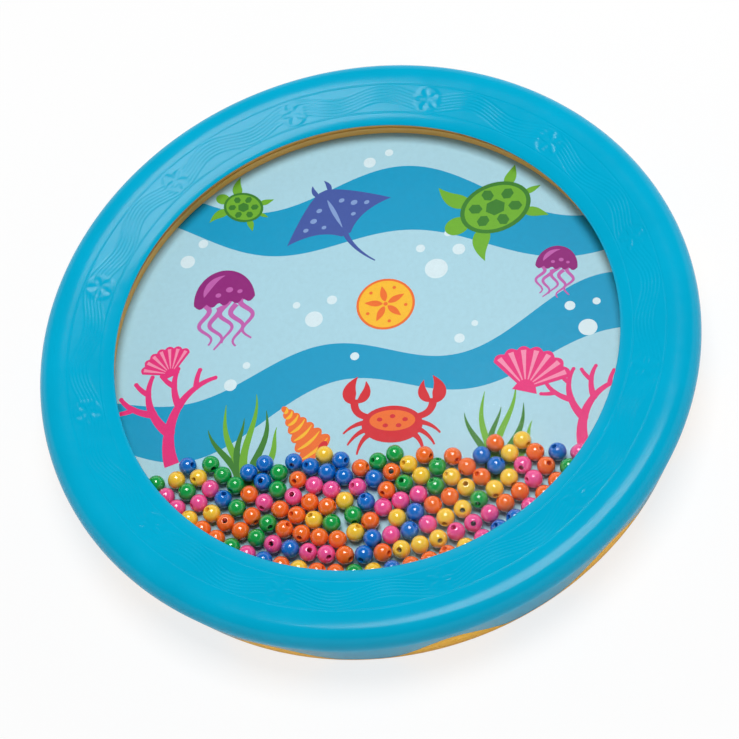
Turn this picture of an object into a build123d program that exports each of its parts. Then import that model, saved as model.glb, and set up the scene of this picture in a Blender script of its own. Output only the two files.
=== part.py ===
from build123d import *
import math
import os
import random

# Ocean drum lying on its back: +Z up through the window, origin in the middle of the base, millimetres

# Rim, seen from above
outer_diameter = 250.0
rim_width = 29.0
frame_wall = 2.4
fit_clearance = 0.25

# Stack of sheets, from the base up
recess_depth = 11.8
head_thickness = 1.4
picture_thickness = 0.6
chamber_depth = 7.1
window_thickness = 1.2
lip_thickness = 1.4
crown_rise = 6.0

# Rounding and lean of the rim's section
shoulder_radius = 7.0
shoulder_facets = 4
base_tuck = 4.6

# Scalloped parting line between the two frames
scallop_count = 12
scallop_low = 1.2
scallop_rise = 15.8
scallop_turn = 14.0
scallop_share = 0.74
scallop_chords = 8
parting_gap = 0.15
tongue_thickness = 1.6
tongue_overlap = 3.0

# Bead wall, the rib that centres the stack, and the rear frame's inner wall that carries it
bead_wall_setback = 2.5
bead_wall_thickness = 2.0
rib_thickness = 1.8
recess_setback = 2.0
inner_wall_thickness = 2.4

# Screws and their posts
screw_count = 6
screw_turn = 15.0
screw_diameter = 2.9
screw_length = 13.0
head_diameter = 5.6
head_height = 2.2
screw_seat_height = 8.0
post_joint_height = 14.0
post_diameter = 7.6
sleeve_diameter = 10.0
post_sides = 6
head_clearance = 0.6
shank_clearance = 0.25
thread_clearance = 0.05
pilot_spare = 1.5

# Loose beads
bead_diameter = 6.5
bead_belt_share = 0.4
bead_gap = 0.2
bead_lift = 0.15
bead_wall_gap = 0.3
wall_bead_count = 28
heap_bead_count = 108
heap_unevenness = 1.4
bead_seed = 7
bead_colours = ("pink", "orange", "yellow", "green", "blue")

# Heights and radii that follow
outer_radius = outer_diameter / 2
lip_radius = outer_radius - rim_width
head_floor = recess_depth
picture_floor = head_floor + head_thickness
chamber_floor = picture_floor + picture_thickness
window_floor = chamber_floor + chamber_depth
lip_floor = window_floor + window_thickness
lip_top = lip_floor + lip_thickness
crest_height = lip_top + crown_rise
shoulder_height = crest_height - shoulder_radius
crest_radius = outer_radius - shoulder_radius

bead_wall_radius = lip_radius + bead_wall_setback
stack_radius = bead_wall_radius + bead_wall_thickness
rib_radius = stack_radius + fit_clearance
rib_outer = rib_radius + rib_thickness
recess_radius = lip_radius - recess_setback
inner_wall_outer = recess_radius + inner_wall_thickness

base_radius = outer_radius - base_tuck
skirt_inner = outer_radius - frame_wall
base_inner = base_radius - frame_wall
tongue_base = base_inner - fit_clearance
tongue_foot = tongue_base - tongue_thickness
tongue_top = scallop_low + scallop_rise + tongue_overlap
flank_lean = base_tuck / shoulder_height
post_radius = (rib_outer + tongue_foot) / 2

# The crown's straight slope runs from the lip's edge to where it touches the shoulder's round
lip_to_centre = math.hypot(crest_radius - lip_radius, shoulder_height - lip_top)
centre_angle = math.atan2(shoulder_height - lip_top, crest_radius - lip_radius)
slope_angle = centre_angle + math.asin(shoulder_radius / lip_to_centre)


def slope_height(radius, inset):
    """Height of the crown's slope at a radius, sunk by an inset square to it."""
    rise = (radius - lip_radius) * math.tan(slope_angle)
    return lip_top + rise - inset / math.cos(slope_angle)


def ring(corners):
    """Turns a closed outline, given by corners of radius and height, about the drum's axis."""
    return revolve(Plane.XZ * make_face(Polyline(*corners, close=True)), Axis.Z)


def tube(inner, outer, bottom, top):
    """A plain ring between two radii and two heights."""
    return ring([(inner, bottom), (outer, bottom), (outer, top), (inner, top)])


def disc(radius, bottom, thickness):
    """A flat round sheet."""
    return Pos(0, 0, bottom) * extrude(Circle(radius), thickness)


def round_the_screws(piece):
    """Copies a piece that stands on the drum's axis to every screw."""
    step = 360 / screw_count
    return [Rot(0, 0, screw_turn + step * i) * Pos(post_radius, 0, 0) * piece for i in range(screw_count)]


def peg(diameter, bottom, top):
    """An upright six-sided peg or hole for posts, sleeves and screws."""
    return Pos(0, 0, bottom) * extrude(RegularPolygon(diameter / 2, post_sides), top - bottom)


def shoulder_corners():
    """Corners of the shoulder's round, from the crown's slope over the crest to the flank."""
    turn = math.pi / 2 + slope_angle
    corners = []
    for i in range(shoulder_facets + 1):
        angle = turn * (1 - i / shoulder_facets)
        across = crest_radius + shoulder_radius * math.cos(angle)
        corners.append((across, shoulder_height + shoulder_radius * math.sin(angle)))
    return corners


def scallop_arches(lowered):
    """The arches under the front skirt, as blocks that reach through the wall, lowered by a gap."""
    reach_in = tongue_foot - tongue_thickness
    depth = outer_radius + frame_wall - reach_in
    half = scallop_share * math.pi * outer_radius / scallop_count
    corners = [(half, -shoulder_height), (-half, -shoulder_height)]
    for i in range(scallop_chords + 1):
        phase = math.pi * (2 * i / scallop_chords - 1)
        corners.append((half * phase / math.pi, scallop_rise * (1 + math.cos(phase)) / 2))
    foot = Plane(origin=(reach_in, 0, scallop_low - lowered), x_dir=(0, 1, 0), z_dir=(1, 0, 0))
    arch = extrude(foot * make_face(Polyline(*corners, close=True)), depth)
    step = 360 / scallop_count
    return [Rot(0, 0, scallop_turn + step * i) * arch for i in range(scallop_count)]


def front_frame():
    """Blue ring: crown, lip over the window, scalloped skirt, centring rib and screw posts."""
    rib_foot = head_floor + fit_clearance
    lip = [(lip_radius, lip_floor), (lip_radius, lip_top)]
    skirt = [
        (base_radius + flank_lean * scallop_low, scallop_low),
        (base_inner + flank_lean * scallop_low, scallop_low),
        (skirt_inner, shoulder_height),
    ]
    crown_inside = [
        (crest_radius, crest_height - frame_wall),
        (rib_outer, slope_height(rib_outer, frame_wall)),
    ]
    rib = [(rib_outer, rib_foot), (rib_radius, rib_foot), (rib_radius, lip_floor)]
    shell = ring(lip + shoulder_corners() + skirt + crown_inside + rib)
    post_top = slope_height(post_radius - post_diameter / 2, frame_wall / 2)
    posts = round_the_screws(peg(post_diameter, post_joint_height, post_top))
    pilot_top = screw_seat_height + screw_length + pilot_spare
    pilots = round_the_screws(peg(screw_diameter + 2 * thread_clearance, post_joint_height, pilot_top))
    return shell - scallop_arches(0) + posts - pilots


def rear_frame():
    """Yellow ring: base, scalloped outer wall and its tongue, inner wall under the head, screw sleeves."""
    wall_low = scallop_low - parting_gap
    whole_wall = ring(
        [
            (tongue_foot, 0),
            (base_radius, 0),
            (outer_radius, shoulder_height),
            (tongue_foot + base_tuck, shoulder_height),
        ]
    )
    scalloped_wall = [whole_wall & arch for arch in scallop_arches(parting_gap)]
    low_wall = ring(
        [
            (tongue_foot, 0),
            (base_radius, 0),
            (base_radius + flank_lean * wall_low, wall_low),
            (tongue_foot, wall_low),
        ]
    )
    tongue = ring(
        [
            (tongue_foot, 0),
            (tongue_base, 0),
            (tongue_base + flank_lean * tongue_top, tongue_top),
            (tongue_foot + flank_lean * tongue_top, tongue_top),
        ]
    )
    section = [
        (recess_radius, 0),
        (tongue_base, 0),
        (tongue_base, frame_wall),
        (inner_wall_outer, frame_wall),
        (inner_wall_outer, head_floor),
        (recess_radius, head_floor),
    ]
    sleeves = round_the_screws(peg(sleeve_diameter, 0, post_joint_height))
    well = peg(head_diameter + 2 * head_clearance, 0, screw_seat_height)
    shank_hole = peg(screw_diameter + 2 * shank_clearance, 0, post_joint_height)
    frame = ring(section) + tongue + low_wall + scalloped_wall + sleeves
    return frame - round_the_screws(well) - round_the_screws(shank_hole)


def frame_screws():
    """Self-tapping screws, heads down in their wells."""
    head = peg(head_diameter, screw_seat_height - head_height, screw_seat_height)
    shank = peg(screw_diameter, screw_seat_height, screw_seat_height + screw_length)
    return round_the_screws(head + shank)


def bead():
    """One bead as a sixteen-sided ball: two poles, and two belts of four corners half a step apart."""
    radius = bead_diameter / 2
    belt_height = bead_belt_share * radius
    belt_radius = math.sqrt(radius**2 - belt_height**2)
    top = Vector(0, 0, radius)
    bottom = Vector(0, 0, -radius)
    upper = [Vector(belt_radius, 0, belt_height).rotate(Axis.Z, 90 * i) for i in range(4)]
    lower = [Vector(belt_radius, 0, -belt_height).rotate(Axis.Z, 90 * i + 45) for i in range(4)]
    trios = []
    for i in range(4):
        after = (i + 1) % 4
        trios += [(top, upper[i], upper[after]), (bottom, lower[i], lower[after])]
        trios += [(upper[i], upper[after], lower[i]), (lower[i], lower[after], upper[after])]
    return Solid(Shell([Face(Wire.make_polygon(trio)) for trio in trios]))


def tumbled(solid, dice):
    """Turns a bead to a random lie."""
    return Rot(dice.uniform(0, 360), dice.uniform(0, 360), dice.uniform(0, 360)) * solid


def wall_places():
    """Bead centres in one row along the bead wall, spread evenly about the lowest point."""
    reach = bead_wall_radius - bead_wall_gap - bead_diameter / 2
    step = 2 * math.asin((bead_diameter + bead_gap) / 2 / reach)
    start = -math.pi / 2 - step * (wall_bead_count - 1) / 2
    turns = [start + step * i for i in range(wall_bead_count)]
    return [(reach * math.cos(turn), reach * math.sin(turn)) for turn in turns]


def touching_places(first, second, pitch):
    """The two places one pitch away from two beads."""
    gap_x = second[0] - first[0]
    gap_y = second[1] - first[1]
    apart = math.hypot(gap_x, gap_y)
    if apart > 2 * pitch or apart == 0:
        return []
    side = math.sqrt(pitch**2 - apart**2 / 4) / apart
    middle_x = (first[0] + second[0]) / 2
    middle_y = (first[1] + second[1]) / 2
    return [
        (middle_x - side * gap_y, middle_y + side * gap_x),
        (middle_x + side * gap_y, middle_y - side * gap_x),
    ]


def rim_places(placed, reach, pitch):
    """The two places on the heap's round edge, one pitch away from a bead."""
    distance = math.hypot(*placed)
    turn_cosine = (distance**2 + reach**2 - pitch**2) / (2 * distance * reach)
    if abs(turn_cosine) > 1:
        return []
    lie = math.atan2(placed[1], placed[0])
    turns = [lie - math.acos(turn_cosine), lie + math.acos(turn_cosine)]
    return [(reach * math.cos(turn), reach * math.sin(turn)) for turn in turns]


def heap_places(dice):
    """Bead centres inside the wall row: each next bead rolls to a low place against two others."""
    pitch = bead_diameter + bead_gap
    reach = bead_wall_radius - bead_wall_gap - bead_diameter - bead_wall_gap - bead_diameter / 2
    slack = 1e-6
    placed = [(0.0, -reach)]
    free = rim_places(placed[0], reach, pitch)
    while len(placed) < heap_bead_count:
        spot = min(free, key=lambda place: place[1] + dice.uniform(0, heap_unevenness))
        found = rim_places(spot, reach, pitch)
        for other in placed:
            found += touching_places(spot, other, pitch)
        placed.append(spot)
        kept = []
        for place in free + found:
            inside = math.hypot(*place) <= reach + slack
            if inside and all(math.dist(place, other) >= pitch - slack for other in placed):
                kept.append(place)
        free = kept
    return placed


def bead_groups(places, dice):
    """Sorts the beads at these places into one group for each colour."""
    centre_height = chamber_floor + bead_lift + bead_diameter / 2
    pattern = bead()
    groups = {colour: [] for colour in bead_colours}
    for x, y in places:
        colour = dice.choice(bead_colours)
        groups[colour].append(Pos(x, y, centre_height) * tumbled(pattern, dice))
    return groups


def save(name, shape):
    """Writes one piece, or a group of like pieces, as its own file."""
    if isinstance(shape, list):
        shape = Compound(children=shape)
    export_step(shape, f"parts/{name}.step")


def main():
    os.makedirs("parts", exist_ok=True)
    save("front_frame", front_frame())
    save("rear_frame", rear_frame())
    save("front_window", disc(stack_radius, window_floor, window_thickness))
    save("bead_wall_ring", tube(bead_wall_radius, stack_radius, chamber_floor, window_floor))
    save("picture_disc", disc(stack_radius, picture_floor, picture_thickness))
    save("rear_head", disc(stack_radius, head_floor, head_thickness))
    save("frame_screws", frame_screws())
    dice = random.Random(bead_seed)
    for zone, places in (("wall", wall_places()), ("heap", heap_places(dice))):
        for colour, beads in bead_groups(places, dice).items():
            save(f"{zone}_beads_{colour}", beads)


main()
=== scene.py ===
import math
import random

import bmesh
import bpy
from mathutils import Matrix, Vector


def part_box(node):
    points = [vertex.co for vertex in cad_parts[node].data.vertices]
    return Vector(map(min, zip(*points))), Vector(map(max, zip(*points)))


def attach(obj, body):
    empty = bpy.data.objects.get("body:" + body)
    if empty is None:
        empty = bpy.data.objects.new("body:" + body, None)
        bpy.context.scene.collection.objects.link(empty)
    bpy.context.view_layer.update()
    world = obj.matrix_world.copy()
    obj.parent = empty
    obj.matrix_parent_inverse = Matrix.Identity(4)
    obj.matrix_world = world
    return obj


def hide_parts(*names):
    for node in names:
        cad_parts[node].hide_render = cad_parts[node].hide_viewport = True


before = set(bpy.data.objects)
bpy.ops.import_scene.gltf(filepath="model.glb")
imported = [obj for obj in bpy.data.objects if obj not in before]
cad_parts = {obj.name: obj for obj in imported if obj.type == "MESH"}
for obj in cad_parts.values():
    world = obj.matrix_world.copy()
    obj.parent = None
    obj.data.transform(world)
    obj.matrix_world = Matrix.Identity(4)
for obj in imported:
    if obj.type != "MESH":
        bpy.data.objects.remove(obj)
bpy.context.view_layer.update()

bl_info = {
    "name": "Ocean drum",
    "version": (1, 0, 0),
    "blender": (4, 5, 0),
    "location": "View3D > Sidebar > Drum",
    "description": "Dresses the packed ocean drum: moulded frames, print, beads, screws and a studio stage",
    "category": "Object",
}

MM = 0.001

# Rim section in millimetres, as the solids have it
RIM_WIDTH = 29.0
FRAME_WALL = 2.4
FIT_CLEARANCE = 0.25
LIP_THICKNESS = 1.4
RIB_THICKNESS = 1.8
TONGUE_THICKNESS = 1.6
BASE_TUCK = 4.6
RECESS_STEP = 2.0
SHOULDER_RADIUS = 7.0
OUTER_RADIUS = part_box("front_frame")[1].x / MM
CREST_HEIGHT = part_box("front_frame")[1].z / MM
LIP_RADIUS = OUTER_RADIUS - RIM_WIDTH
WINDOW_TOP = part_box("front_window")[1].z / MM
LIP_TOP = WINDOW_TOP + LIP_THICKNESS
SHOULDER_HEIGHT = CREST_HEIGHT - SHOULDER_RADIUS
CREST_RADIUS = OUTER_RADIUS - SHOULDER_RADIUS
BASE_RADIUS = OUTER_RADIUS - BASE_TUCK
FLANK_LEAN = (OUTER_RADIUS - BASE_RADIUS) / SHOULDER_HEIGHT
STACK_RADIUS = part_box("front_window")[1].x / MM
RIB_RADIUS = STACK_RADIUS + FIT_CLEARANCE
RIB_OUTER = RIB_RADIUS + RIB_THICKNESS
HEAD_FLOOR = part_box("rear_head")[0].z / MM
HEAD_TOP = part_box("rear_head")[1].z / MM
PRINT_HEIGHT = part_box("picture_disc")[1].z / MM
RECESS_RADIUS = LIP_RADIUS - RECESS_STEP
INNER_WALL_OUTER = RECESS_RADIUS + FRAME_WALL
TONGUE_OUTER = BASE_RADIUS - FRAME_WALL - FIT_CLEARANCE
TONGUE_INNER = TONGUE_OUTER - TONGUE_THICKNESS
TONGUE_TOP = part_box("rear_frame")[1].z / MM

# Lean of the straight slope from the lip's edge to the shoulder's round
LIP_TO_CENTRE = math.hypot(CREST_RADIUS - LIP_RADIUS, SHOULDER_HEIGHT - LIP_TOP)
CENTRE_ANGLE = math.atan2(SHOULDER_HEIGHT - LIP_TOP, CREST_RADIUS - LIP_RADIUS)
SLOPE = CENTRE_ANGLE + math.asin(SHOULDER_RADIUS / LIP_TO_CENTRE)

# Relief and soft edges of the crown, in millimetres, and shares of the star's reach and the ridges' depth
PANEL_INNER = 100.8
PANEL_OUTER = 112.6
BORDERS = (PANEL_INNER, PANEL_OUTER)
BORDER_HALF = 0.5
BORDER_DEPTH = 0.09
STAR_ARMS = 5
STAR_RADIUS = 4.8
STAR_BODY_SHARE = 0.6
STAR_ARM_SHARE = 0.4
STAR_EDGE = 0.35
STAR_FIELD = 5.7
STAR_FIELD_EASE = 0.8
STAR_FIELD_DEPTH = 1.3
STAR_TURN = math.radians(15.0)
LIP_ROUND = 0.7
LIP_CORNER = ((0.0, -0.35), (0.08, -0.12), (0.27, 0.06))
LIP_ROWS = (0.6, 1.2, 1.9, 2.8, 3.7)
CREST_START = PANEL_OUTER + 0.8
CREST_END = math.radians(50.0)

# Corners of the rear frame's base, as steps outward and upward in millimetres
BASE_CORNER = ((-0.5, 0), (-0.15, 0.12))
RECESS_MOUTH = ((0.0, 0.9), (0.12, 0.45), (0.45, 0.12), (0.9, 0))

# Scalloped parting line
SCALLOP_COUNT = 12
SCALLOP_SHARE = 0.74
SCALLOP_TURN = math.radians(14.0)
SCALLOP_LOW = 1.2
SCALLOP_RISE = 15.8
SCALLOP_HALF = SCALLOP_SHARE * math.pi * OUTER_RADIUS / SCALLOP_COUNT
PARTING_GAP = 0.2

# Screws
SCREW_COUNT = 6
SCREW_TURN = math.radians(15.0)
SCREW_CIRCLE = (RIB_OUTER + TONGUE_INNER) / 2
SCREW_SEAT = 8.0
SCREW_LENGTH = 13.0
SCREW_HEAD_HEIGHT = 2.2
SCREW_HEAD_DOME = ((1.4, 0.1), (2.3, 0.45), (2.7, 1.0), (2.8, 1.5))
THREAD_TURNS = 10
THREAD_PITCH = 1.1
WELL_RADIUS = 3.4
SLEEVE_RADIUS = 5.0
SLEEVE_TOP = 14.0
SHANK_HOLE = 1.7

# Middle range of a noise texture, where most of its values lie, and the depth of moulded grain in metres
NOISE_RANGE = (0.3, 0.7)
GRAIN_DEPTH = 0.0001


def colour_property(name, description, *screen):
    """A colour that a user may change, given as it looks on a screen, 0 to 255, and kept as linear."""
    linear = []
    for value in screen:
        part = value / 255
        linear.append(part / 12.92 if part <= 0.04045 else ((part + 0.055) / 1.055) ** 2.4)
    return bpy.props.FloatVectorProperty(
        name=name, description=description, subtype="COLOR", size=4, min=0.0, max=1.0, default=(*linear, 1.0)
    )


def number_property(name, description, default, **kind):
    """A number that a user may change."""
    return bpy.props.FloatProperty(name=name, description=description, default=default, **kind)


def length_property(name, description, default):
    """A length in metres that a user may change."""
    return number_property(name, description, default, unit="LENGTH")


def angle_property(name, description, degrees):
    """An angle that a user may change."""
    return number_property(name, description, math.radians(degrees), subtype="ANGLE")


def count_property(name, description, default):
    """A number of like things that a user may change."""
    return bpy.props.IntProperty(name=name, description=description, min=1, default=default)


class DrumFrameSettings(bpy.types.PropertyGroup):
    """Colours and relief of the two moulded frames."""

    front_colour: colour_property("Front frame", "Colour of the front frame's plastic", 0, 166, 204)
    rear_colour: colour_property("Rear frame", "Colour of the rear frame's plastic", 253, 190, 44)
    wall_colour: colour_property("Bead wall", "Colour of the ring round the beads", 240, 178, 84)
    head_colour: colour_property("Rear head", "Colour of the sheet behind the print", 236, 235, 228)
    screw_colour: colour_property("Screws", "Colour of the screws' plating", 196, 197, 200)
    ridge_count: count_property("Ridges", "Ridges side by side in the wave band", 6)
    wave_count: count_property("Waves", "Waves of the band round the rim", 18)
    star_count: count_property("Starfish", "Plain starfish round the rim's relief", 12)
    ridge_depth: length_property("Ridge depth", "Depth of the grooves between ridges", 0.00011)
    ridge_pitch: length_property("Ridge pitch", "Distance from ridge to ridge", 0.0013)
    wave_swing: length_property("Wave swing", "How far the band swings to each side", 0.002)


class DrumBeadSettings(bpy.types.PropertyGroup):
    """Shape and colours of the loose beads."""

    diameter: length_property("Diameter", "Diameter of a bead", 0.00664)
    bore: length_property("Bore", "Diameter of the hole through a bead", 0.0018)
    seed: bpy.props.IntProperty(name="Seed", description="Start of the beads' random turns", default=11)
    pink: colour_property("Pink", "Colour of the pink beads", 246, 84, 156)
    orange: colour_property("Orange", "Colour of the orange beads", 252, 112, 30)
    yellow: colour_property("Yellow", "Colour of the yellow beads", 255, 206, 58)
    green: colour_property("Green", "Colour of the green beads", 4, 164, 70)
    blue: colour_property("Blue", "Colour of the blue beads", 0, 112, 206)


class DrumPrintSettings(bpy.types.PropertyGroup):
    """Inks of the sea picture."""

    ground: colour_property("Ground", "Light water", 173, 216, 230)
    current: colour_property("Current", "Darker bands of water", 0, 156, 200)
    bubble: colour_property("Bubbles", "Pale air bubbles", 218, 238, 244)
    green: colour_property("Green", "Sea grass and turtles", 112, 178, 44)
    deep_green: colour_property("Deep green", "Shade of sea grass and turtles", 58, 128, 40)
    pink: colour_property("Pink", "Fan shells and coral", 234, 44, 124)
    pale_pink: colour_property("Pale pink", "Ribs of fan shells", 248, 146, 180)
    red: colour_property("Red", "Crab and the spiral shell's mouth", 214, 32, 44)
    orange: colour_property("Orange", "Spiral shell, petals and the crab's back", 242, 112, 40)
    yellow: colour_property("Yellow", "Sand dollar and the spiral shell's bands", 252, 192, 44)
    purple: colour_property("Purple", "Jellyfish", 146, 30, 122)
    lilac: colour_property("Lilac", "Arms and marks of the jellyfish", 196, 96, 176)
    blue: colour_property("Blue", "Ray", 66, 88, 164)
    pale_blue: colour_property("Pale blue", "Marks of the ray", 132, 160, 212)


class DrumStageSettings(bpy.types.PropertyGroup):
    """Camera and light."""

    distance: length_property("Distance", "Camera to the drum's axis at the lip's height", 0.6)
    lens: number_property("Lens", "Focal length in millimetres", 77.98)
    tilt: angle_property("Tilt", "Angle of the view from straight down", 32.03)
    azimuth: angle_property("Azimuth", "Turn of the camera round the drum", 16.0)
    roll: angle_property("Roll", "Turn of the camera about its own axis", 18.68)
    shift_x: number_property("Shift X", "Sideways shift of the frame", 0.0118)
    shift_y: number_property("Shift Y", "Upward shift of the frame", -0.055)
    softbox_power: number_property("Softbox", "Power of the overhead softbox in watts", 9.6)
    ceiling: number_property("Ceiling", "Brightness of the studio overhead", 0.1)


# Materials


def shader_nodes(name):
    """A new material with its shader and its node tree."""
    material = bpy.data.materials.new(name)
    material.use_nodes = True
    tree = material.node_tree
    return material, tree, tree.nodes["Principled BSDF"]


def set_inputs(node, values):
    """Sets inputs of a shader node by their names."""
    for name, value in values.items():
        node.inputs[name].default_value = value


def object_noise(tree, scale, detail=3.0):
    """A noise texture fixed to the piece."""
    place = tree.nodes.new("ShaderNodeTexCoord")
    grain = tree.nodes.new("ShaderNodeTexNoise")
    set_inputs(grain, {"Scale": scale, "Detail": detail})
    tree.links.new(place.outputs["Object"], grain.inputs["Vector"])
    return grain.outputs["Fac"]


def mapped(tree, value, source, target):
    """Maps one span of values to another."""
    span = tree.nodes.new("ShaderNodeMapRange")
    set_inputs(span, dict(zip(("From Min", "From Max", "To Min", "To Max"), (*source, *target))))
    tree.links.new(value, span.inputs["Value"])
    return span.outputs["Result"]


def uneven_gloss(tree, shader, scale, rough_low, rough_high):
    """Lets the roughness wander between two values."""
    rough = mapped(tree, object_noise(tree, scale), NOISE_RANGE, (rough_low, rough_high))
    tree.links.new(rough, shader.inputs["Roughness"])


def varied_colour(tree, shader, colour, scale, change):
    """Lets the base colour wander a little, as coloured plastic and ink do."""
    mix = tree.nodes.new("ShaderNodeMix")
    mix.data_type = "RGBA"
    darker = [channel * (1 - change) for channel in colour[:3]]
    lighter = [min(1.0, channel * (1 + change)) for channel in colour[:3]]
    set_inputs(mix, {"A": (*darker, 1.0), "B": (*lighter, 1.0)})
    tree.links.new(mapped(tree, object_noise(tree, scale), NOISE_RANGE, (0.0, 1.0)), mix.inputs["Factor"])
    tree.links.new(mix.outputs["Result"], shader.inputs["Base Color"])


def grained(tree, shader, scale, strength):
    """A fine moulded grain."""
    bump = tree.nodes.new("ShaderNodeBump")
    set_inputs(bump, {"Strength": strength, "Distance": GRAIN_DEPTH})
    tree.links.new(object_noise(tree, scale, detail=2.0), bump.inputs["Height"])
    tree.links.new(bump.outputs["Normal"], shader.inputs["Normal"])


def moulded_plastic(name, colour, rough_low, rough_high, specular=0.5, coat=0.0):
    """Coloured plastic from a mould, with a slightly uneven gloss."""
    material, tree, shader = shader_nodes(name)
    varied_colour(tree, shader, colour, scale=45.0, change=0.03)
    uneven_gloss(tree, shader, scale=160.0, rough_low=rough_low, rough_high=rough_high)
    grained(tree, shader, scale=900.0, strength=0.05)
    set_inputs(shader, {"Specular IOR Level": specular, "Coat Weight": coat, "Coat Roughness": 0.06})
    return material


def printed_ink(name, colour):
    """Satin printing ink, a little mottled."""
    material, tree, shader = shader_nodes(name)
    varied_colour(tree, shader, colour, scale=600.0, change=0.025)
    uneven_gloss(tree, shader, scale=400.0, rough_low=0.38, rough_high=0.5)
    set_inputs(shader, {"Specular IOR Level": 0.25})
    grained(tree, shader, scale=1500.0, strength=0.04)
    return material


def clear_plastic(name):
    """Clear polished sheet: almost all light goes straight through."""
    material, tree, shader = shader_nodes(name)
    set_inputs(shader, {"Base Color": (0.03, 0.05, 0.06, 1.0), "Alpha": 0.02})
    uneven_gloss(tree, shader, scale=30.0, rough_low=0.03, rough_high=0.07)
    return material


def plated_steel(name, colour):
    """Bright plating with a faint grain."""
    material, tree, shader = shader_nodes(name)
    varied_colour(tree, shader, colour, scale=500.0, change=0.08)
    set_inputs(shader, {"Metallic": 1.0})
    uneven_gloss(tree, shader, scale=700.0, rough_low=0.25, rough_high=0.42)
    grained(tree, shader, scale=2500.0, strength=0.08)
    return material


# Shapes


def shares(steps):
    """Even shares of a whole, from 0 to 1."""
    return [i / steps for i in range(steps + 1)]


def polar(reach, angle):
    """A flat point at a distance and an angle."""
    return reach * math.cos(angle), reach * math.sin(angle)


def add_object(name, data):
    """Puts a mesh, a light or a camera into the scene."""
    item = bpy.data.objects.new(name, data)
    bpy.context.scene.collection.objects.link(item)
    return item


def show(name, mesh, material, sharp_degrees=32.0):
    """Puts a mesh into the scene as a smooth piece with crisp corners."""
    mesh.polygons.foreach_set("use_smooth", [True] * len(mesh.polygons))
    mesh.set_sharp_from_angle(angle=math.radians(sharp_degrees))
    mesh.materials.append(material)
    return add_object(name, mesh)


def outward(mesh):
    """Turns all faces of a closed mesh to the outside."""
    work = bmesh.new()
    work.from_mesh(mesh)
    bmesh.ops.recalc_face_normals(work, faces=work.faces)
    work.to_mesh(mesh)
    work.free()
    return mesh


def turned_ring(name, section_at, columns):
    """A closed ring round the drum's axis from sections of radius and height in millimetres."""
    corners = []
    for column in range(columns):
        turn = 2 * math.pi * column / columns
        along, across = math.cos(turn) * MM, math.sin(turn) * MM
        for radius, height in section_at(turn):
            corners.append((radius * along, radius * across, height * MM))
    rows = len(corners) // columns
    faces = []
    for column in range(columns):
        here = column * rows
        there = (column + 1) % columns * rows
        for row in range(rows):
            after = (row + 1) % rows
            faces.append((here + row, there + row, there + after, here + after))
    mesh = bpy.data.meshes.new(name)
    mesh.from_pydata(corners, [], faces)
    return outward(mesh)


def round_spot(radius, height, column, columns):
    """A point on a circle about the axis, from sizes in millimetres."""
    return Vector((*polar(radius, 2 * math.pi * column / columns), height)) * MM


def turned_rows(work, outline, columns, place):
    """Adds a turned solid to a mesh in the making; the outline starts and ends on the axis."""
    rings = []
    for radius, height in outline:
        if radius == 0:
            rings.append([work.verts.new(place @ Vector((0, 0, height * MM)))])
            continue
        spots = [round_spot(radius, height, column, columns) for column in range(columns)]
        rings.append([work.verts.new(place @ spot) for spot in spots])
    for first, second in zip(rings, rings[1:]):
        for column in range(columns):
            after = (column + 1) % columns
            if len(first) == 1:
                work.faces.new((first[0], second[column], second[after]))
            elif len(second) == 1:
                work.faces.new((first[column], second[0], first[after]))
            else:
                work.faces.new((first[column], second[column], second[after], first[after]))


def turned_loop(work, outline, columns, place):
    """Adds a turned solid whose closed outline stays clear of the axis."""
    rings = []
    for column in range(columns):
        spots = [round_spot(radius, height, column, columns) for radius, height in outline]
        rings.append([work.verts.new(place @ spot) for spot in spots])
    for column in range(columns):
        first, second = rings[column], rings[(column + 1) % columns]
        for row in range(len(outline)):
            after = (row + 1) % len(outline)
            work.faces.new((first[row], second[row], second[after], first[after]))


def finished_mesh(work, name):
    """Closes a mesh in the making."""
    bmesh.ops.recalc_face_normals(work, faces=work.faces)
    mesh = bpy.data.meshes.new(name)
    work.to_mesh(mesh)
    work.free()
    return mesh


def carved(mesh, tool_mesh):
    """Cuts one closed mesh out of another."""
    body = add_object("carving", mesh)
    tool = add_object("carving_tool", tool_mesh)
    cut = body.modifiers.new("cut", "BOOLEAN")
    cut.operation = "DIFFERENCE"
    cut.solver = "EXACT"
    cut.object = tool
    bpy.context.view_layer.update()
    shaped = body.evaluated_get(bpy.context.evaluated_depsgraph_get())
    result = bpy.data.meshes.new_from_object(shaped)
    for item in (body, tool):
        bpy.data.objects.remove(item)
    return result


def screw_places():
    """Upright places of the screws."""
    step = 2 * math.pi / SCREW_COUNT
    turns = [SCREW_TURN + step * i for i in range(SCREW_COUNT)]
    return [Matrix.Rotation(turn, 4, "Z") @ Matrix.Translation((SCREW_CIRCLE * MM, 0, 0)) for turn in turns]


def smooth_step(value, low, high):
    """0 below low, 1 above high and an even rise between."""
    part = min(1.0, max(0.0, (value - low) / (high - low)))
    return part * part * (3 - 2 * part)


def soft_bump(part):
    """1 in the middle, falling evenly to 0 at -1 and at 1."""
    return (1 + math.cos(math.pi * part)) / 2


def curve_between(start, middle, end, count=14):
    """A soft bow from start to end, drawn towards the middle."""
    points = []
    for part in shares(count):
        weights = ((1 - part) ** 2, 2 * part * (1 - part), part**2)
        x = weights[0] * start[0] + weights[1] * middle[0] + weights[2] * end[0]
        y = weights[0] * start[1] + weights[1] * middle[1] + weights[2] * end[1]
        points.append((x, y))
    return points


# Front frame


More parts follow.
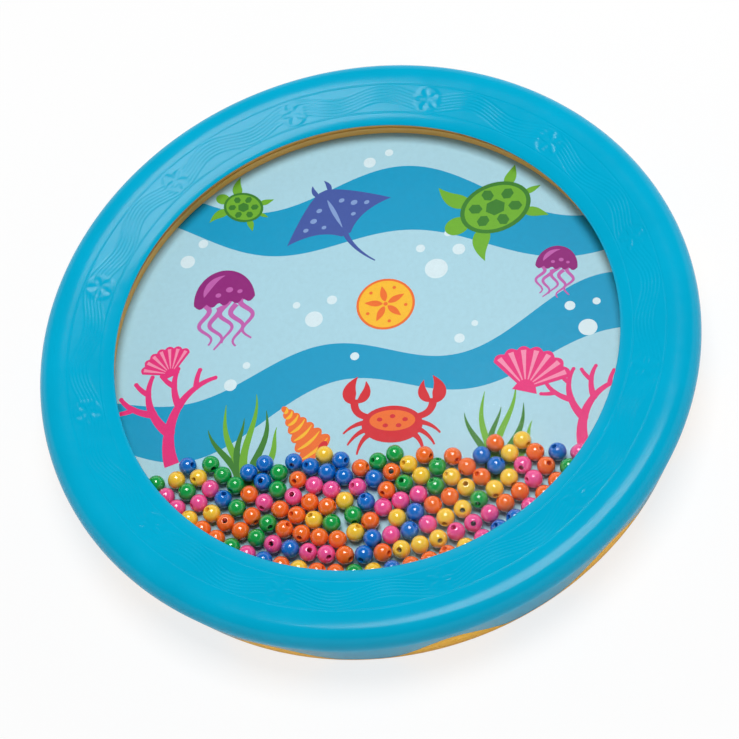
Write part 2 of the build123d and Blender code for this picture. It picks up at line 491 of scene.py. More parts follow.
def scallop_height(turn):
    """Height of the front skirt's edge at an angle round the drum."""
    pitch = 2 * math.pi / SCALLOP_COUNT
    offset = (turn - SCALLOP_TURN + pitch / 2) % pitch - pitch / 2
    across = BASE_RADIUS * math.sin(offset)
    if abs(across) > SCALLOP_HALF:
        return SCALLOP_LOW
    return SCALLOP_LOW + SCALLOP_RISE * soft_bump(across / SCALLOP_HALF)


def flank_radius(height):
    """Radius of the leaning flank at a height."""
    return BASE_RADIUS + FLANK_LEAN * height


def flank_rows(start, end, steps):
    """Points along the flank from one height to another, without the first."""
    heights = [start + (end - start) * part for part in shares(steps)[1:]]
    return [(flank_radius(height), height) for height in heights]


def lip_drop(radius):
    """How far the crown's rounded inner edge falls below the straight slope."""
    part = max(0.0, (PANEL_INNER - radius) / (PANEL_INNER - LIP_RADIUS))
    return LIP_ROUND * part**2


def crown_point(radius, depth):
    """A point of the crown's slope at a radius, sunk square to the surface."""
    height = LIP_TOP + (radius - LIP_RADIUS) * math.tan(SLOPE) - lip_drop(radius)
    return radius + depth * math.sin(SLOPE), height - depth * math.cos(SLOPE)


def crest_bow():
    """The soft bow over the crest, from the slope to the shoulder's round."""
    first = crown_point(CREST_START, 0.0)
    out, up = polar(SHOULDER_RADIUS, CREST_END)
    last = (CREST_RADIUS + out, SHOULDER_HEIGHT + up)
    across, rise = last[0] - first[0], last[1] - first[1]
    along = (across * math.cos(CREST_END) + rise * math.sin(CREST_END)) / math.cos(CREST_END - SLOPE)
    out, up = polar(along, SLOPE)
    return curve_between(first, (first[0] + out, first[1] + up), last)


def star_cover(along, across):
    """How far a place lies inside a plain five-armed starfish, in millimetres."""
    turn = math.atan2(across, along)
    reach = STAR_RADIUS * (STAR_BODY_SHARE + STAR_ARM_SHARE * math.cos(STAR_ARMS * turn))
    return reach - math.hypot(along, across)


def relief_depth(settings, turn, radius):
    """Depth of the crown's relief: border grooves, the wavy ridges and the plain starfish."""
    depth = 0.0
    for border in BORDERS:
        away = abs(radius - border) / BORDER_HALF
        if away < 1:
            depth = BORDER_DEPTH * soft_bump(away)
    if not PANEL_INNER < radius < PANEL_OUTER:
        return depth
    panel_middle = (PANEL_INNER + PANEL_OUTER) / 2
    ridge_depth = settings.ridge_depth / MM
    band_middle = panel_middle + settings.wave_swing / MM * math.sin(settings.wave_count * turn)
    place = (radius - band_middle) / (settings.ridge_pitch / MM)
    half_band = settings.ridge_count / 2
    grooves = 0.0
    if abs(place) < half_band:
        grooves = ridge_depth * (1 - math.cos(2 * math.pi * (place + half_band))) / 2
    step = 2 * math.pi / settings.star_count
    along = ((turn - STAR_TURN + step / 2) % step - step / 2) * radius
    across = radius - panel_middle
    field = 1 - smooth_step(math.hypot(along, across), STAR_FIELD - STAR_FIELD_EASE, STAR_FIELD)
    star = smooth_step(star_cover(along, across), -STAR_EDGE, STAR_EDGE)
    grooves = max(grooves * (1 - field), STAR_FIELD_DEPTH * ridge_depth * field * (1 - star))
    return max(depth, grooves)


def crown_radii():
    """Radii of the crown's rows, close together where the relief is."""
    rows = [LIP_RADIUS + step for step in LIP_ROWS]
    border_steps = 8
    for border in BORDERS:
        rows += [border + BORDER_HALF * (2 * part - 1) for part in shares(border_steps)]
    start = PANEL_INNER + BORDER_HALF
    width = PANEL_OUTER - BORDER_HALF - start
    panel_steps = 44
    rows += [start + width * part for part in shares(panel_steps)[1:-1]]
    return sorted(rows)


def front_section(settings, turn):
    """The front frame's section at one angle, from the lip over the crown and round inside."""
    edge = 0.3
    lip_height = LIP_TOP - LIP_ROUND
    section = [(LIP_RADIUS + edge, WINDOW_TOP), (LIP_RADIUS, WINDOW_TOP + edge)]
    section += [(LIP_RADIUS + out, lip_height + up) for out, up in LIP_CORNER]
    section += [crown_point(radius, relief_depth(settings, turn, radius)) for radius in crown_radii()]
    section += crest_bow()
    arc_steps = 10
    for part in shares(arc_steps)[1:]:
        out, up = polar(SHOULDER_RADIUS, CREST_END * (1 - part))
        section.append((CREST_RADIUS + out, SHOULDER_HEIGHT + up))
    foot = scallop_height(turn)
    section += flank_rows(SHOULDER_HEIGHT, foot + edge, steps=8)
    inner_foot = flank_radius(foot) - FRAME_WALL
    section += [
        (flank_radius(foot) - edge, foot),
        (inner_foot + edge, foot),
        (inner_foot, foot + edge),
        (OUTER_RADIUS - FRAME_WALL, SHOULDER_HEIGHT),
        (CREST_RADIUS, CREST_HEIGHT - FRAME_WALL),
        (RIB_OUTER, crown_point(RIB_OUTER, FRAME_WALL)[1]),
        (RIB_OUTER, HEAD_FLOOR + FIT_CLEARANCE),
        (RIB_RADIUS, HEAD_FLOOR + FIT_CLEARANCE),
        (RIB_RADIUS, WINDOW_TOP),
    ]
    return section


class DRUM_OT_front_frame(bpy.types.Operator):
    """Blue front frame with its scalloped skirt and the moulded wave relief on its crown"""

    bl_idname = "drum.front_frame"
    bl_label = "Front frame"

    def execute(self, context):
        settings = context.scene.drum_frames
        columns = 864
        mesh = turned_ring("front_frame_moulding", lambda turn: front_section(settings, turn), columns)
        plastic = moulded_plastic(
            "blue moulded plastic", settings.front_colour, rough_low=0.14, rough_high=0.2, specular=0.14
        )
        piece = show("front_frame_moulding", mesh, plastic)
        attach(piece, "drum")
        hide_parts("front_frame")
        return {"FINISHED"}


# Rear frame


def rear_section(turn):
    """The rear frame's section at one angle: outer wall, tongue, base and inner wall."""
    top = scallop_height(turn) - PARTING_GAP
    edge = 0.15
    base_round = 0.45
    ledge_chamfer = 0.4
    section = [(BASE_RADIUS + out, up) for out, up in BASE_CORNER]
    section.append((flank_radius(base_round), base_round))
    section += flank_rows(base_round, top - edge, steps=6)
    section += [
        (flank_radius(top) - edge, top),
        (TONGUE_OUTER + FLANK_LEAN * top, top),
        (TONGUE_OUTER + FLANK_LEAN * TONGUE_TOP, TONGUE_TOP),
        (TONGUE_INNER + FLANK_LEAN * TONGUE_TOP, TONGUE_TOP),
        (TONGUE_INNER, FRAME_WALL),
        (INNER_WALL_OUTER, FRAME_WALL),
        (INNER_WALL_OUTER, HEAD_FLOOR),
        (RECESS_RADIUS + ledge_chamfer, HEAD_FLOOR),
        (RECESS_RADIUS, HEAD_FLOOR - ledge_chamfer),
    ]
    return section + [(RECESS_RADIUS + out, up) for out, up in RECESS_MOUTH]


def well_outline():
    """Outline of the tool that cuts a screw's well through the base."""
    below, above = -1.0, FRAME_WALL + 0.6
    return [(0, below), (WELL_RADIUS, below), (WELL_RADIUS, above), (0, above)]


def sleeve_outline():
    """Closed outline of the sleeve round a screw, with the step that the head sits on."""
    foot = FRAME_WALL - 0.3
    return [
        (WELL_RADIUS, foot),
        (SLEEVE_RADIUS, foot),
        (SLEEVE_RADIUS, SLEEVE_TOP),
        (SHANK_HOLE, SLEEVE_TOP),
        (SHANK_HOLE, SCREW_SEAT),
        (WELL_RADIUS, SCREW_SEAT),
    ]


class DRUM_OT_rear_frame(bpy.types.Operator):
    """Yellow rear frame with its scalloped wall, base ring and screw wells"""

    bl_idname = "drum.rear_frame"
    bl_label = "Rear frame"

    def execute(self, context):
        settings = context.scene.drum_frames
        mesh = turned_ring("rear_frame_ring", rear_section, columns=720)
        wells = bmesh.new()
        sleeves = bmesh.new()
        well_columns = 40
        for place in screw_places():
            turned_rows(wells, well_outline(), well_columns, place)
            turned_loop(sleeves, sleeve_outline(), well_columns, place)
        mesh = carved(mesh, finished_mesh(wells, "wells"))
        joined = bmesh.new()
        joined.from_mesh(mesh)
        joined.from_mesh(finished_mesh(sleeves, "sleeves"))
        plastic = moulded_plastic(
            "yellow moulded plastic", settings.rear_colour, rough_low=0.24, rough_high=0.32, specular=0.05
        )
        piece = show("rear_frame_moulding", finished_mesh(joined, "rear_frame_moulding"), plastic)
        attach(piece, "drum")
        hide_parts("rear_frame")
        return {"FINISHED"}


# Window, bead wall and rear head


def refinish(node, material):
    """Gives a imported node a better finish."""
    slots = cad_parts[node].data.materials
    slots.clear()
    slots.append(material)


def bead_wall_section():
    """The bead wall's section: a low step with a rounded edge below a plain band."""
    thickness = 2.0
    inner = STACK_RADIUS - thickness
    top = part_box("bead_wall_ring")[1].z / MM
    step = PRINT_HEIGHT + 3.4
    edge = 0.15
    step_width = 0.7
    return [
        (inner + edge, PRINT_HEIGHT),
        (inner, PRINT_HEIGHT + edge),
        (inner, step - 0.4),
        (inner + 0.12, step - 0.12),
        (inner + 0.4, step),
        (inner + step_width, step + 0.05),
        (inner + step_width, top),
        (STACK_RADIUS, top),
        (STACK_RADIUS, PRINT_HEIGHT),
    ]


class DRUM_OT_window(bpy.types.Operator):
    """Clear window and the ring that keeps the beads in under it"""

    bl_idname = "drum.window"
    bl_label = "Window and bead wall"

    def execute(self, context):
        settings = context.scene.drum_frames
        refinish("front_window", clear_plastic("clear window"))
        section = bead_wall_section()
        mesh = turned_ring("bead_wall_moulding", lambda turn: section, columns=360)
        plastic = moulded_plastic("tan bead wall", settings.wall_colour, rough_low=0.34, rough_high=0.44)
        piece = show("bead_wall_moulding", mesh, plastic)
        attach(piece, "drum")
        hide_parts("bead_wall_ring")
        return {"FINISHED"}


def rear_head_outline():
    """Outline of the rear head, from its middle over the edge and back along the rolled rings."""
    edge = 0.3
    ring_radii = (86.0, 44.0)
    ring_half = 2.2
    ring_height = 0.45
    ring_steps = 8
    outline = [(0, HEAD_TOP), (STACK_RADIUS - edge, HEAD_TOP), (STACK_RADIUS, HEAD_TOP - edge)]
    outline += [(STACK_RADIUS, HEAD_FLOOR + edge), (STACK_RADIUS - edge, HEAD_FLOOR)]
    for middle in ring_radii:
        for part in shares(ring_steps):
            away = 2 * part - 1
            outline.append((middle - ring_half * away, HEAD_FLOOR + ring_height * soft_bump(away)))
    return outline + [(0, HEAD_FLOOR)]


class DRUM_OT_rear_head(bpy.types.Operator):
    """White rear head with its rolled rings"""

    bl_idname = "drum.rear_head"
    bl_label = "Rear head"

    def execute(self, context):
        head_columns = 256
        work = bmesh.new()
        turned_rows(work, rear_head_outline(), head_columns, Matrix.Identity(4))
        colour = context.scene.drum_frames.head_colour
        sheet = moulded_plastic("white rear head", colour, rough_low=0.4, rough_high=0.52)
        piece = show("rear_head_sheet", finished_mesh(work, "rear_head_sheet"), sheet)
        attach(piece, "drum")
        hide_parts("rear_head")
        return {"FINISHED"}


# Screws


def screw_outline():
    """Turned outline of one screw, from the middle of its head to its point."""
    head_low = SCREW_SEAT - SCREW_HEAD_HEIGHT
    outline = [(0, head_low)]
    outline += [(radius, head_low + rise) for radius, rise in SCREW_HEAD_DOME]
    outline += [(2.8, SCREW_SEAT - 0.1), (2.65, SCREW_SEAT), (1.15, SCREW_SEAT)]
    root, crest = 1.1, 1.42
    for i in range(THREAD_TURNS):
        start = SCREW_SEAT + 0.5 + THREAD_PITCH * i
        end = start + THREAD_PITCH - 0.05
        outline += [(root, start), (crest, start + 0.45), (crest, start + 0.55), (root, end)]
    tip = SCREW_SEAT + SCREW_LENGTH
    return outline + [(0.9, tip - 0.6), (0.3, tip - 0.1), (0, tip)]


def cross_recess_arm(work, place, quarter):
    """One wedge of the cross that is cut into a screw's head."""
    low = (SCREW_SEAT - 2.6) * MM
    deep = (SCREW_SEAT - 0.9) * MM
    turned = place @ Matrix.Rotation(quarter * math.pi / 2, 4, "Z")
    half_width, mouth, floor = 0.32 * MM, 1.55 * MM, 0.5 * MM
    corners = []
    for height, reach in ((low, mouth), (deep, floor)):
        for x, y in ((-1, -1), (1, -1), (1, 1), (-1, 1)):
            corners.append(work.verts.new(turned @ Vector((x * reach, y * half_width, height))))
    for row in ((0, 1, 2, 3), (7, 6, 5, 4), (0, 4, 5, 1), (1, 5, 6, 2), (2, 6, 7, 3), (3, 7, 4, 0)):
        work.faces.new([corners[i] for i in row])


class DRUM_OT_screws(bpy.types.Operator):
    """Cross-recessed screws in the rear frame's wells"""

    bl_idname = "drum.screws"
    bl_label = "Screws"

    def execute(self, context):
        steel = plated_steel("plated screw steel", context.scene.drum_frames.screw_colour)
        screw_seed = 5
        dice = random.Random(screw_seed)
        arms = 2
        screw_columns = 24
        whole = bmesh.new()
        for place in screw_places():
            turned = place @ Matrix.Rotation(dice.uniform(0, math.pi), 4, "Z")
            blank = bmesh.new()
            turned_rows(blank, screw_outline(), screw_columns, turned)
            shaped = finished_mesh(blank, "screw_blank")
            for quarter in range(arms):
                recess = bmesh.new()
                cross_recess_arm(recess, turned, quarter)
                shaped = carved(shaped, finished_mesh(recess, "recess"))
            whole.from_mesh(shaped)
        piece = show("frame_screws_threaded", finished_mesh(whole, "frame_screws_threaded"), steel)
        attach(piece, "drum")
        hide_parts("frame_screws")
        return {"FINISHED"}


# Beads


def bead_centres(node):
    """Middles of the separate solids in a packed bead node."""
    work = bmesh.new()
    work.from_mesh(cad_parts[node].data)
    same_place = 1e-6
    bmesh.ops.remove_doubles(work, verts=work.verts, dist=same_place)
    seen = set()
    centres = []
    for start in work.verts:
        if start in seen:
            continue
        island = [start]
        seen.add(start)
        for vert in island:
            for edge in vert.link_edges:
                other = edge.other_vert(vert)
                if other not in seen:
                    seen.add(other)
                    island.append(other)
        centres.append(sum((vert.co for vert in island), Vector()) / len(island))
    work.free()
    return centres


def bead_outline(diameter, bore):
    """Closed outline of a bored bead: round outside, eased hole."""
    radius = diameter / 2 / MM
    hole = bore / 2 / MM
    ease = 0.22
    reach = math.acos((hole + ease) / radius)
    steps = 12
    outline = [polar(radius, reach * (2 * part - 1)) for part in shares(steps)]
    top = outline[-1][1]
    mouth, mouth_sink, hole_sink = hole + 0.06, 0.05, 0.25
    outline += [(mouth, top - mouth_sink), (hole, top - hole_sink)]
    return outline + [(hole, hole_sink - top), (mouth, mouth_sink - top)]


class DRUM_OT_beads(bpy.types.Operator):
    """Glossy bored beads in place of every packed bead"""

    bl_idname = "drum.beads"
    bl_label = "Beads"

    def execute(self, context):
        settings = context.scene.drum_beads
        dice = random.Random(settings.seed)
        outline = bead_outline(settings.diameter, settings.bore)
        bead_columns = 22
        for colour in ("pink", "orange", "yellow", "green", "blue"):
            plastic = moulded_plastic(
                f"{colour} bead plastic", getattr(settings, colour), rough_low=0.12, rough_high=0.2, coat=0.8
            )
            for zone in ("wall", "heap"):
                node = f"{zone}_beads_{colour}"
                work = bmesh.new()
                for centre in bead_centres(node):
                    lie = Matrix.Rotation(dice.uniform(0, 2 * math.pi), 4, "Z")
                    lean = Matrix.Rotation(math.acos(dice.uniform(-1, 1)), 4, "X")
                    turned_loop(work, outline, bead_columns, Matrix.Translation(centre) @ lie @ lean)
                mesh = finished_mesh(work, f"{node}_bored")
                piece = show(f"{node}_bored", mesh, plastic, sharp_degrees=50.0)
                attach(piece, f"{zone}_beads")
                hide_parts(node)
        return {"FINISHED"}


# Print: outlines in millimetres; a motif gives its shapes one by one, each as ink and outline


def moved(outline, x, y, turn, size=1.0):
    """An outline turned, sized and brought to a place."""
    along, across = polar(size, turn)
    return [(x + a * along - b * across, y + a * across + b * along) for a, b in outline]


def oval(width, height, x=0.0, y=0.0, turn=0.0, count=40):
    """An oval by its full width and height."""
    angles = [2 * math.pi * i / count for i in range(count)]
    outline = [(width / 2 * math.cos(angle), height / 2 * math.sin(angle)) for angle in angles]
    return moved(outline, x, y, turn)


def ribbon(path, width_at):
    """A strip along a path, with a width for each part of its length from 0 to 1."""
    left, right = [], []
    last = len(path) - 1
    for i, (x, y) in enumerate(path):
        before = path[max(0, i - 1)]
        after = path[min(last, i + 1)]
        lean = math.atan2(after[1] - before[1], after[0] - before[0])
        half = width_at(i / last) / 2
        left.append((x - half * math.sin(lean), y + half * math.cos(lean)))
        right.append((x + half * math.sin(lean), y - half * math.cos(lean)))
    return left + right[::-1]


def leaf(start, middle, end, width):
    """A pointed leaf along a bow."""
    path = curve_between(start, middle, end)
    return ribbon(path, lambda part: 0.25 + width * math.sin(math.pi * part**0.8))


def turtle():
    """A turtle seen from above."""
    for side in (1, -1):
        yield "green", leaf((6, 7 * side), (14, 9 * side), (15, 20 * side), 6.5)
        yield "green", leaf((-8, 7 * side), (-12, 9 * side), (-16, 14 * side), 4.2)
    yield "green", oval(10, 8, 17)
    yield "green", leaf((-12, 0), (-16, 0), (-20, 0), 2.4)
    yield "deep_green", oval(29, 23)
    yield "green", oval(25.5, 19.5)
    yield "deep_green", oval(8.4, 7.6, count=6)
    for i in range(6):
        angle = math.pi / 3 * i + math.pi / 6
        yield "deep_green", oval(5.6, 4.8, 8.2 * math.cos(angle), 6.6 * math.sin(angle), angle, count=6)


def fan_spot(part, reach):
    """A point of the fan shell, from its right side at 0 to its left at 1."""
    spread = math.radians(62)
    x, y = polar(reach, math.pi / 2 - spread + 2 * spread * part)
    return x, y - 9


def scallop_shell():
    """A fan shell with ribs."""
    lobes = 7
    edge = [fan_spot(part, 19 + 1.5 * abs(math.sin(lobes * math.pi * part))) for part in shares(lobes * 8)]
    yield "pink", [(-5.5, -11), (5.5, -11), (4, -7.5), (-4, -7.5)]
    yield "pink", [(0, -10.5)] + edge
    for lobe in range(lobes):
        path = [fan_spot((lobe + 0.5) / lobes, reach) for reach in (4, 8, 12, 16, 18.6)]
        yield "pale_pink", ribbon(path, lambda part: 0.5 + 1.9 * part)


def spiral_shell():
    """A pointed shell in whorls."""
    for i, height in enumerate((-9.5, -5.0, -0.8, 3.0, 6.4, 9.4, 12.0)):
        width = 15.5 - 2.15 * i
        half = width * 0.42
        yield "orange", oval(width, 7.2 - 0.6 * i, 0, height, 0.16)
        yield "yellow", leaf((-half, height - 0.9), (0, height - 2.0), (half, height + 0.5), 1.1)
    yield "red", oval(6.0, 3.4, 2.6, -11.2, 0.5)


def crab():
    """A crab seen from above."""
    legs = (((15, 1), (19, -4)), ((14, -3), (17, -9)), ((12, -6), (13, -13)))
    for side in (1, -1):
        for i, (knee, foot) in enumerate(legs):
            hip = (8 * side, 1 - 2.5 * i)
            path = curve_between(hip, (knee[0] * side, knee[1]), (foot[0] * side, foot[1]))
            yield "red", ribbon(path, lambda part: 2.6 - 1.9 * part)
        arm = curve_between((9 * side, 3), (16 * side, 4), (15.5 * side, 11))
        yield "red", ribbon(arm, lambda part: 2.6 + 0.6 * part)
        yield "red", leaf((15.5 * side, 9), (20.5 * side, 14), (15 * side, 21), 5.2)
        yield "red", leaf((14.8 * side, 9.5), (9.5 * side, 12.5), (11.5 * side, 19), 3.6)
    yield "red", oval(24, 16)
    yield "orange", oval(18, 9, 0, 1.6)
    for x, y in ((-5, 2), (0, 3.4), (5, 2), (-2.6, -0.6), (2.6, -0.6)):
        yield "red", oval(2.2, 1.8, x, y)


def jellyfish():
    """A jellyfish: a bell with trailing arms."""
    steps = 24
    for i, start in enumerate((-9.0, -4.6, 0.0, 4.6, 9.0)):
        drop = 2.5 * (i % 2)
        path = [(start + 2.4 * math.sin(9 * part + i), -20 * part - drop) for part in shares(steps)]
        yield "lilac", ribbon(path, lambda part: 2.5 - 1.7 * part)
    bell = [(13 * math.cos(math.pi * part), 15 * math.sin(math.pi * part)) for part in shares(30)]
    hem = [(-13 + 26 * part, -2.2 * abs(math.sin(5 * math.pi * part))) for part in shares(steps)]
    yield "purple", bell + hem[1:]
    yield "lilac", leaf((-8.5, 3.5), (-6, 11), (1, 12.4), 2.6)
    for x, y, size in ((2.5, 5.0, 3.0), (6.8, 3.4, 2.2), (-2.4, 3.2, 2.4)):
        yield "lilac", oval(size, size * 0.85, x, y)


def ray_fish():
    """A flat ray seen from above."""
    half = curve_between((1.5, 13), (8, 11), (23, -4)) + curve_between((23, -4), (9, -3), (2.0, -11))
    tail = curve_between((0, -9), (-1, -18), (5, -28))
    yield "blue", ribbon(tail, lambda part: 2.4 - 1.9 * part)
    yield "blue", half + [(-x, y) for x, y in reversed(half)]
    for side in (1, -1):
        yield "blue", leaf((2.2 * side, 11), (4 * side, 14), (2.6 * side, 17.5), 1.8)
        for x, y, size in ((5, 5, 2.4), (9, 1.5, 2.8), (13.5, -1, 2.2), (6.5, -3.4, 2.0)):
            yield "pale_blue", oval(size, size * 0.8, x * side, y)
    yield "pale_blue", leaf((0, 8), (0, 0), (0, -7), 1.5)


def sand_dollar():
    """A round flat shell with a flower of five petals."""
    petals = 5
    yield "orange", oval(24, 24)
    yield "yellow", oval(22, 22)
    for i in range(petals):
        angle = math.pi / 2 + 2 * math.pi * i / petals
        yield "orange", leaf(*[polar(reach, angle) for reach in (1.2, 5, 8.6)], 2.6)
        yield "orange", oval(1.5, 1.5, *polar(8.3, angle + math.pi / petals))
    yield "orange", oval(1.8, 1.8)


def coral_branch(x, y, angle, length, width, forks):
    """A branch of coral with what forks from it."""
    out, up = polar(length, angle)
    bow_out, bow_up = polar(0.5 * length, angle + 0.22)
    end = (x + out, y + up)
    path = curve_between((x, y), (x + bow_out, y + bow_up), end, count=8)
    yield "pink", ribbon(path, lambda part: width * (1 - 0.3 * part))
    yield "pink", oval(width * 0.78, width * 0.78, *end)
    if forks:
        for turn, share in ((0.55, 0.78), (-0.42, 0.84)):
            yield from coral_branch(*end, angle + turn, length * share, width * 0.74, forks - 1)


def coral():
    """A branching coral."""
    return coral_branch(0, 0, math.pi / 2, length=12, width=5.0, forks=3)


def sea_grass():
    """A tuft of long leaves."""
    for i, (lean, height) in enumerate(((-9, 30), (-5, 40), (-1, 33), (3, 43), (7, 35), (11, 27))):
        path = []
        for part in shares(16):
            path.append((i * 1.6 - 4 + lean * part**1.5 + 2.2 * math.sin(5.5 * part + i), height * part))
        ink = "green" if i % 2 else "deep_green"
        yield ink, ribbon(path, lambda part: 3.3 * (1 - part**2.2) + 0.2)


def current(height, lean, swell, waves, phase, width):
    """A wavy band of darker water right across the picture."""
    margin = 1.0
    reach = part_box("picture_disc")[1].x / MM - margin
    upper, lower = [], []
    for part in shares(90):
        x = reach * (2 * part - 1)
        middle = height + lean * x + swell * math.sin(waves * x + phase)
        half = width / 2 * (1 + 0.3 * math.sin(waves * x * 0.7 + phase * 1.7))
        room = math.sqrt(max(0.0, reach**2 - x**2))
        upper.append((x, min(room, max(-room, middle + half))))
        lower.append((x, min(room, max(-room, middle - half))))
    return upper + lower[::-1]


def picture_shapes():
    """The whole sea picture, from the lowest ink to the topmost."""
    yield "current", current(height=58, lean=-0.12, swell=9, waves=0.052, phase=0.6, width=24)
    yield "current", current(height=-14, lean=0.16, swell=8, waves=0.06, phase=2.4, width=19)
    bubbles = (
        *((28, 30, 9), (37, 38, 5), (22, 40, 3.6), (33, 46, 3), (-20, 12, 7), (-13, 20, 4), (-27, 19, 3)),
        *((-72, 44, 6), (-66, 52, 4), (84, -2, 7), (78, 8, 4), (88, 9, 3), (-52, -14, 5), (-46, -6, 3)),
        *((2, 84, 5), (10, 88, 3.4), (36, -2, 4), (42, 4, 2.6), (-4, -6, 3.4)),
    )
    for x, y, size in bubbles:
        yield "bubble", oval(size, size, x, y)
    motifs = (
        (coral, -73, -46, 1.15, 8),
        (coral, 79, -50, 0.9, -4),
        (sea_grass, -44, -60, 0.95, 4),
        (sea_grass, 47, -62, 0.9, -6),
        (ray_fish, -12, 60, 1.0, 24),
        (turtle, 52, 56, 1.0, 205),
        (jellyfish, -56, 24, 0.95, 6),
        (jellyfish, 74, 26, 0.62, -10),
        (sand_dollar, 8, 16, 0.95, 10),
        (crab, 10, -36, 0.95, -4),
        (spiral_shell, -24, -36, 0.95, 34),
        (scallop_shell, 62, -18, 0.85, -18),
        (scallop_shell, -78, -2, 0.6, 24),
        (turtle, -50, 68, 0.6, 150),
    )
    for motif, x, y, size, degrees in motifs:
        for ink, outline in motif():
            yield ink, moved(outline, x, y, math.radians(degrees), size)


class DRUM_OT_picture(bpy.types.Operator):
    """Sea picture, one thin layer of ink for each colour"""

    bl_idname = "drum.picture"
    bl_label = "Picture"

    def execute(self, context):
        settings = context.scene.drum_print
        refinish("picture_disc", printed_ink("light water print", settings.ground))
        layers = {}
        lift = 0.012
        rise_each = 0.0003
        for order, (ink, outline) in enumerate(picture_shapes()):
            if ink not in layers:
                layers[ink] = bmesh.new()
            work = layers[ink]
            top = (PRINT_HEIGHT + lift + rise_each * order) * MM
            bottom = (PRINT_HEIGHT - lift) * MM
            upper = [work.verts.new((x * MM, y * MM, top)) for x, y in outline]
            lower = [work.verts.new((x * MM, y * MM, bottom)) for x, y in outline]
            work.faces.new(upper)
            work.faces.new(lower[::-1])
            for i in range(len(outline)):
                after = (i + 1) % len(outline)
                work.faces.new((upper[i], lower[i], lower[after], upper[after]))
        for ink, work in layers.items():
            material = printed_ink(f"{ink.replace('_', ' ')} ink", getattr(settings, ink))
            piece = show(f"print_{ink}", finished_mesh(work, f"print_{ink}"), material)
            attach(piece, "drum")
        return {"FINISHED"}


# Stage


def backdrop_world(scene, ceiling):
    """A white studio all round, darker overhead where the softbox hangs."""
    world = bpy.data.worlds.new("studio")
    scene.world = world
    world.use_nodes = True
    tree = world.node_tree
    place = tree.nodes.new("ShaderNodeTexCoord")
    direction = tree.nodes.new("ShaderNodeSeparateXYZ")
    background = tree.nodes["Background"]
    set_inputs(background, {"Strength": 1.0})
    tree.links.new(place.outputs["Generated"], direction.inputs["Vector"])
    wall_to_ceiling = (0.3, 0.55)
    shade = mapped(tree, direction.outputs["Z"], wall_to_ceiling, (1.0, ceiling))
    tree.links.new(shade, background.inputs["Color"])


def combined(tree, operation, first, second):
    """Two values, or a value and a constant, through one Math node."""
    node = tree.nodes.new("ShaderNodeMath")
    node.operation = operation
    tree.links.new(first, node.inputs[0])
    if isinstance(second, float):
        node.inputs[1].default_value = second
    else:
        tree.links.new(second, node.inputs[1])
    return node.outputs["Value"]


def floor_whiteness(tree):
    """How white the floor reads: fully so far out, less near the drum and in its reflections."""
    place = tree.nodes.new("ShaderNodeTexCoord")
    away = tree.nodes.new("ShaderNodeVectorMath")
    away.operation = "LENGTH"
    tree.links.new(place.outputs["Object"], away.inputs[0])
    near_to_far = (0.18, 0.5)
    whiteness = mapped(tree, away.outputs["Value"], near_to_far, (0.8, 1.0))
    path = tree.nodes.new("ShaderNodeLightPath")
    seen = combined(tree, "MAXIMUM", path.outputs["Is Camera Ray"], path.outputs["Is Transmission Ray"])
    mirror_share = 0.2
    mirrored = combined(tree, "MULTIPLY", path.outputs["Is Glossy Ray"], mirror_share)
    seen = combined(tree, "MAXIMUM", seen, mirrored)
    return combined(tree, "MULTIPLY", seen, whiteness)


def floor_material():
    """Pale floor that reads white to the camera and still keeps the drum's shadow."""
    material, tree, shader = shader_nodes("pale floor")
    paper = (0.94, 0.94, 0.94, 1.0)
    varied_colour(tree, shader, paper, scale=3.0, change=0.01)
    set_inputs(shader, {"Roughness": 0.9, "Specular IOR Level": 0.0})
    white = tree.nodes.new("ShaderNodeEmission")
    set_inputs(white, {"Strength": 1.0})
    blend = tree.nodes.new("ShaderNodeMixShader")
    tree.links.new(floor_whiteness(tree), blend.inputs["Fac"])
    tree.links.new(shader.outputs["BSDF"], blend.inputs[1])
    tree.links.new(white.outputs["Emission"], blend.inputs[2])
    tree.links.new(blend.outputs["Shader"], tree.nodes["Material Output"].inputs["Surface"])
    return material


def floor_mesh(inner, outer):
    """A flat round floor, open under the drum so that its back shows from below."""
    columns = 128
    corners = []
    for radius in (inner, outer):
        for column in range(columns):
            corners.append((*polar(radius, 2 * math.pi * column / columns), 0))
    faces = []
    for column in range(columns):
        after = (column + 1) % columns
        faces.append((column, columns + column, columns + after, after))
    mesh = bpy.data.meshes.new("floor")
    mesh.from_pydata(corners, [], faces)
    return mesh


def add_softbox(name, place, aim, width, height, power):
    """A rectangular softbox that points at a place."""
    light = bpy.data.lights.new(name, "AREA")
    light.shape = "RECTANGLE"
    light.size = width
    light.size_y = height
    light.energy = power
    lamp = add_object(name, light)
    lamp.location = place
    lamp.rotation_euler = (Vector(aim) - Vector(place)).to_track_quat("-Z", "Y").to_euler()


def add_camera(scene, settings):
    """The camera, at the photograph's angle."""
    flat = Vector((math.sin(settings.azimuth), -math.cos(settings.azimuth), 0))
    back = flat * math.sin(settings.tilt) + Vector((0, 0, math.cos(settings.tilt)))
    right = Vector((math.cos(settings.azimuth), math.sin(settings.azimuth), 0))
    up = back.cross(right)
    x_axis = right * math.cos(settings.roll) - up * math.sin(settings.roll)
    y_axis = right * math.sin(settings.roll) + up * math.cos(settings.roll)
    data = bpy.data.cameras.new("camera")
    data.lens = settings.lens
    data.sensor_width = 36.0
    data.shift_x = settings.shift_x
    data.shift_y = settings.shift_y
    camera = add_object("camera", data)
    turn = Matrix((x_axis, y_axis, back)).transposed()
    aim = Vector((0, 0, LIP_TOP * MM))
    camera.matrix_world = Matrix.Translation(aim + back * settings.distance) @ turn.to_4x4()
    scene.camera = camera


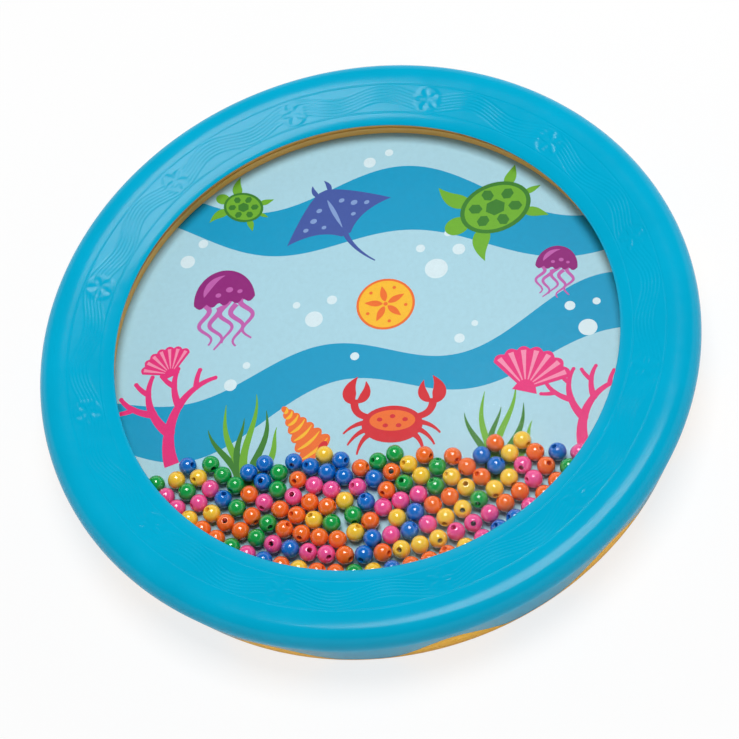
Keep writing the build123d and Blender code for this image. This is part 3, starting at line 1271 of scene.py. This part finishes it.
class DRUM_OT_stage(bpy.types.Operator):
    """Pale floor, soft studio light and the camera"""

    bl_idname = "drum.stage"
    bl_label = "Stage"

    def execute(self, context):
        scene = context.scene
        settings = scene.drum_stage
        scene.view_settings.view_transform = "Standard"
        under_base = 0.4
        floor_reach = 3.0
        mesh = floor_mesh((BASE_RADIUS - under_base) * MM, floor_reach)
        floor = show("floor", mesh, floor_material())
        backdrop_world(scene, settings.ceiling)
        add_softbox(
            "overhead_softbox",
            place=(0.08, 0.16, 1.05),
            aim=(0, 0, 0),
            width=0.55,
            height=0.5,
            power=settings.softbox_power,
        )
        add_camera(scene, settings)
        return {"FINISHED"}


class DRUM_PT_pieces(bpy.types.Panel):
    """Lists the drum's pieces"""

    bl_idname = "DRUM_PT_pieces"
    bl_label = "Ocean drum"
    bl_space_type = "VIEW_3D"
    bl_region_type = "UI"
    bl_category = "Drum"

    def draw(self, context):
        for operator in PIECE_OPERATORS:
            self.layout.operator(operator.bl_idname)


SETTINGS = {
    "drum_frames": DrumFrameSettings,
    "drum_beads": DrumBeadSettings,
    "drum_print": DrumPrintSettings,
    "drum_stage": DrumStageSettings,
}
PIECE_OPERATORS = (
    DRUM_OT_front_frame,
    DRUM_OT_rear_frame,
    DRUM_OT_window,
    DRUM_OT_rear_head,
    DRUM_OT_screws,
    DRUM_OT_beads,
    DRUM_OT_picture,
    DRUM_OT_stage,
)


def register():
    for item in (*SETTINGS.values(), *PIECE_OPERATORS, DRUM_PT_pieces):
        bpy.utils.register_class(item)
    for name, group in SETTINGS.items():
        setattr(bpy.types.Scene, name, bpy.props.PointerProperty(type=group))


def unregister():
    for name in SETTINGS:
        delattr(bpy.types.Scene, name)
    for item in (DRUM_PT_pieces, *reversed(PIECE_OPERATORS), *reversed(SETTINGS.values())):
        bpy.utils.unregister_class(item)


def main():
    register()
    bpy.ops.drum.front_frame()
    bpy.ops.drum.rear_frame()
    bpy.ops.drum.window()
    bpy.ops.drum.rear_head()
    bpy.ops.drum.screws()
    bpy.ops.drum.beads()
    bpy.ops.drum.picture()
    bpy.ops.drum.stage()


if __name__ == "__main__":
    main()
